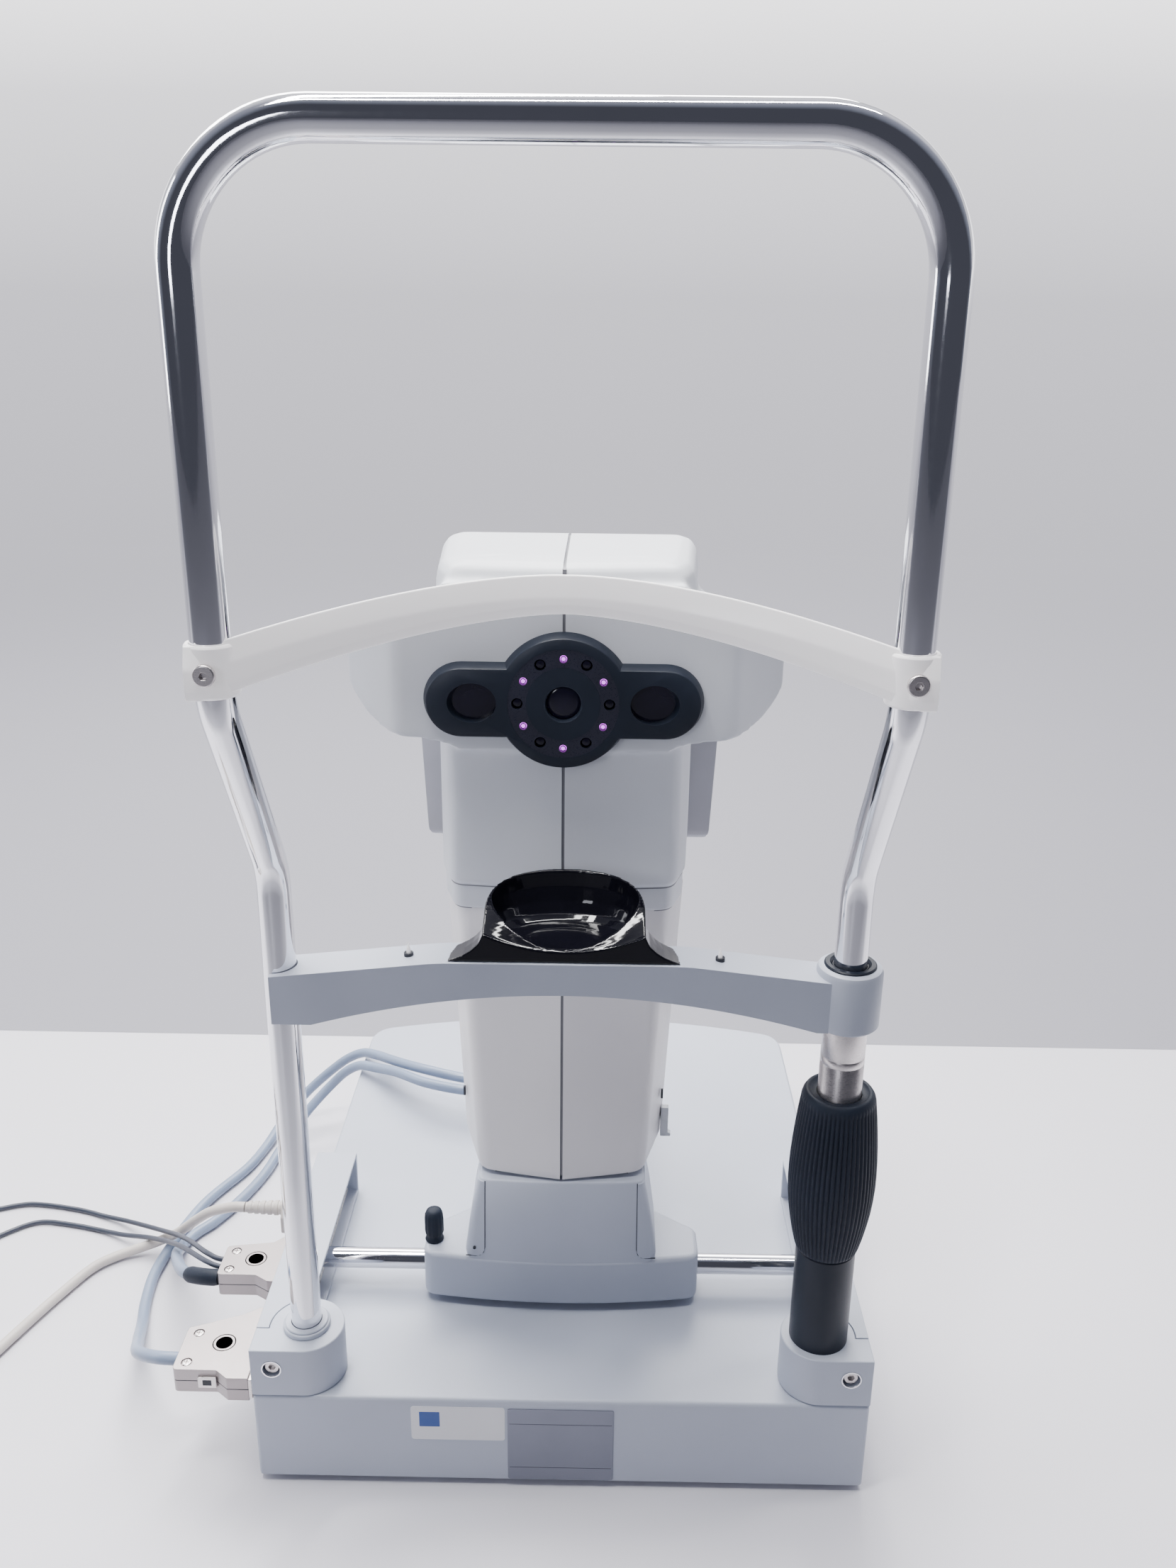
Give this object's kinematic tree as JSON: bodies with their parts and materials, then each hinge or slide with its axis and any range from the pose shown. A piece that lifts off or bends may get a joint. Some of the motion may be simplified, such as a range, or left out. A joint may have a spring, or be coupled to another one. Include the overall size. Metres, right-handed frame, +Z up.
{
  "type": "ophthalmic measuring instrument with head rest",
  "caption": "Table-top eye measuring instrument: joystick-driven head on a geared cross slide, chrome head frame with forehead rest, screw-lifted chin rest, side connectors and leads",
  "frame": {"origin": "centre of the bounding box's footprint on the table, without the leads", "axes": "+Z up, +Y away from the patient towards the operator, +X to the patient-side viewer's right"},
  "size_m": [0.6447, 0.464, 0.6728],
  "materials": {
    "housing_paint": "light grey-blue fine-texture powder coat",
    "casing_white": "warm white moulded casing, fine satin texture",
    "rest_white": "smooth white moulding",
    "chrome": "bright chrome plate",
    "satin_steel": "satin steel with fine turned lines",
    "knob_black": "ribbed black grip",
    "gloss_black": "polished black moulding",
    "satin_black": "satin black",
    "lens_glass": "coated objective lens",
    "screen_glass": "blank dark display panel",
    "led_board": "dark board with violet light emitters",
    "nickel": "nickel-plated cast hood",
    "beige_pvc": "beige flexible sheath",
    "dark_pvc": "dark grey flexible sheath",
    "blue_pvc": "grey-blue flexible sheath",
    "panel_grey": "grey moulded panel",
    "gear_white": "white acetal",
    "inner_alloy": "plain alloy",
    "board_green": "green circuit board"
  },
  "bodies": {
    "root": {"base_housing": "housing_paint", "base_bottom_plate": "satin_black", "power_supply": "inner_alloy", "control_board": "board_green", "post_clamp_left": "housing_paint", "post_clamp_right": "housing_paint", "rail_cover_left": "housing_paint", "rail_cover_right": "housing_paint", "rack_left": "gear_white", "rack_right": "gear_white", "head_frame_tube": "chrome", "post_collar_left": "housing_paint", "forehead_rest": "rest_white", "chinrest_sleeve": "satin_black", "wide_connector": "nickel", "narrow_connector": "nickel", "mains_connector": "beige_pvc", "mains_lead": "beige_pvc", "thin_lead_a": "dark_pvc", "thin_lead_b": "dark_pvc", "blue_cable_a_outer": "blue_pvc", "blue_cable_b_outer": "blue_pvc", "mains_coil": "beige_pvc", "thin_coil_a": "dark_pvc", "thin_coil_b": "dark_pvc", "wall_plug": "beige_pvc", "thin_plug_a": "dark_pvc", "thin_plug_b": "dark_pvc"},
    "axle_carriage": {"axle_guide_left": "gear_white", "axle_guide_right": "gear_white", "blue_cable_a_inner": "blue_pvc", "blue_cable_b_inner": "blue_pvc"},
    "axle": {"axle_shaft": "chrome", "pinion_left": "gear_white", "pinion_right": "gear_white"},
    "cross_slide": {"slide_housing": "housing_paint", "slide_glide_plate": "satin_black", "bearing_carrier": "inner_alloy"},
    "slide_lock": {"slide_lock_knob": "knob_black"},
    "lift_screw": {"lift_spindle": "satin_steel"},
    "head": {"head_shell_left": "casing_white", "head_shell_right": "casing_white", "lower_shell_left": "casing_white", "lower_shell_right": "casing_white", "lift_column": "satin_black", "optics_module": "inner_alloy", "rear_cover": "casing_white", "display_housing": "panel_grey", "display_screen": "screen_glass", "aperture_plate": "satin_black", "led_ring": "led_board", "objective_lens": "lens_glass"},
    "stick_ball": {"joystick_ball": "chrome"},
    "stick": {"joystick_stem": "satin_black"},
    "stick_grip": {"joystick_grip": "knob_black"},
    "stick_button": {"joystick_button": "panel_grey"},
    "chinrest": {"chinrest_bar": "housing_paint", "chin_cup": "gloss_black", "chinrest_lift_tube": "satin_steel"},
    "chinrest_drive": {"chinrest_knob": "knob_black"}
  },
  "joints": [
    {"name": "axle_slide", "type": "slide", "parent": "root", "child": "axle_carriage", "axis": [0, 1, 0], "range_m": [-0.01, 0.066], "deforming": ["blue_cable_a_outer", "blue_cable_b_outer"]},
    {"name": "axle_roll", "type": "hinge", "parent": "axle_carriage", "child": "axle", "pos_m": [0, -0.086, 0.0755], "axis": [1, 0, 0], "range_deg": [-405, 60]},
    {"name": "cross_slide_x", "type": "slide", "parent": "axle_carriage", "child": "cross_slide", "axis": [1, 0, 0], "range_m": [-0.05, 0.05], "deforming": ["blue_cable_a_inner", "blue_cable_b_inner"]},
    {"name": "head_lift", "type": "slide", "parent": "cross_slide", "child": "head", "axis": [0, 0, 1], "range_m": [0, 0.03]},
    {"name": "spindle_turn", "type": "hinge", "parent": "cross_slide", "child": "lift_screw", "pos_m": [-0.0025, -0.079, 0.11], "axis": [0, 0, 1], "range_deg": [-5, 2165]},
    {"name": "lock_turn", "type": "hinge", "parent": "cross_slide", "child": "slide_lock", "pos_m": [-0.077, -0.091, 0.105], "axis": [0, 0, 1], "range_deg": [0, 90]},
    {"name": "stick_tilt_x", "type": "hinge", "parent": "cross_slide", "child": "stick_ball", "pos_m": [-0.0025, 0.074, 0.098], "axis": [1, 0, 0], "range_deg": [-12, 12]},
    {"name": "stick_tilt_y", "type": "hinge", "parent": "stick_ball", "child": "stick", "pos_m": [-0.0025, 0.074, 0.098], "axis": [0, 1, 0], "range_deg": [-12, 12]},
    {"name": "grip_turn", "type": "hinge", "parent": "stick", "child": "stick_grip", "pos_m": [-0.0025, 0.074, 0.15], "axis": [0, 0, 1], "range_deg": [-5, 1085]},
    {"name": "button_press", "type": "slide", "parent": "stick_grip", "child": "stick_button", "axis": [0, 0, -1], "range_m": [0, 0.002], "stiffness_N_per_m": 300, "springref_m": -0.0005},
    {"name": "chinrest_lift", "type": "slide", "parent": "root", "child": "chinrest", "axis": [0, 0, 1], "range_m": [-0.024, 0.036]},
    {"name": "chinrest_knob_turn", "type": "hinge", "parent": "root", "child": "chinrest_drive", "pos_m": [0.138, -0.156, 0.195], "axis": [0, 0, 1], "range_deg": [-725, 1085]}
  ],
  "couplings": [
    {"joint": "axle_roll", "follows": "axle_slide", "rad_per_m": -100},
    {"joint": "spindle_turn", "follows": "head_lift", "rad_per_m": 1256.6},
    {"joint": "grip_turn", "follows": "head_lift", "rad_per_m": 628.32},
    {"joint": "chinrest_knob_turn", "follows": "chinrest_lift", "rad_per_m": 523.6}
  ]
}
